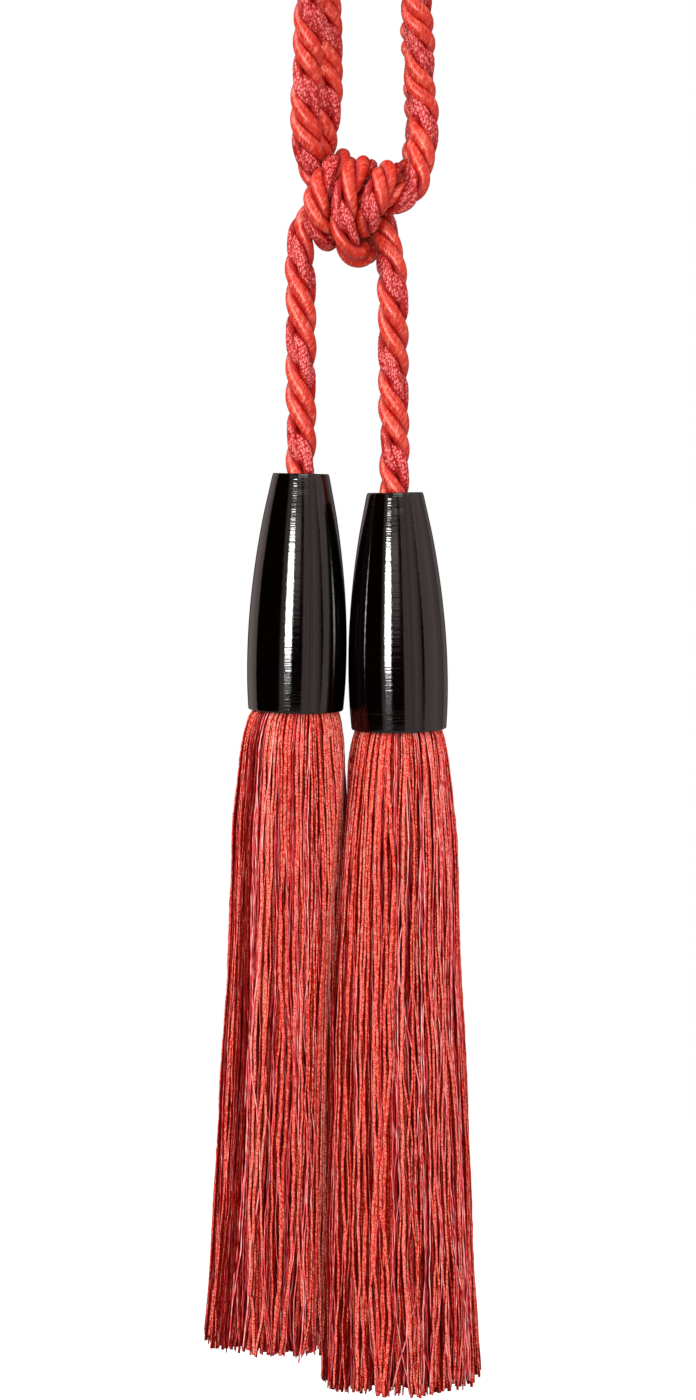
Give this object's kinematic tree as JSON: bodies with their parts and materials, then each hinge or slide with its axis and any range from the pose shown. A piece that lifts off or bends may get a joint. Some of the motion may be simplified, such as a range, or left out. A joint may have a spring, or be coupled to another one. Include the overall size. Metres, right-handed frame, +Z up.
{
  "type": "double tassel tieback",
  "caption": "Silk tassels with turned conical heads on one twisted rope, tied in a wrapped knot under hanging loops.",
  "frame": {"origin": "between the two tassels, level with the rope's centre at the crowns of the hanging loops", "axes": "+Z up along the hanging rope, +X to the viewer's right, the front faces -Y"},
  "size_m": [0.0875, 0.0469, 0.4689],
  "materials": {
    "rope_satin": "satin silk strand, orange-red",
    "rope_crepe": "knobbly crepe silk strand, crimson pink",
    "head_resin": "polished near-black turned resin",
    "skirt_yarn": "crepe yarn, orange-red",
    "skirt_thread": "thin glossy thread, magenta pink"
  },
  "bodies": {
    "root": {"rope": "rope_satin", "head_left": "head_resin", "head_right": "head_resin", "skirt_left": "skirt_yarn", "skirt_right": "skirt_yarn"}
  },
  "joints": []
}
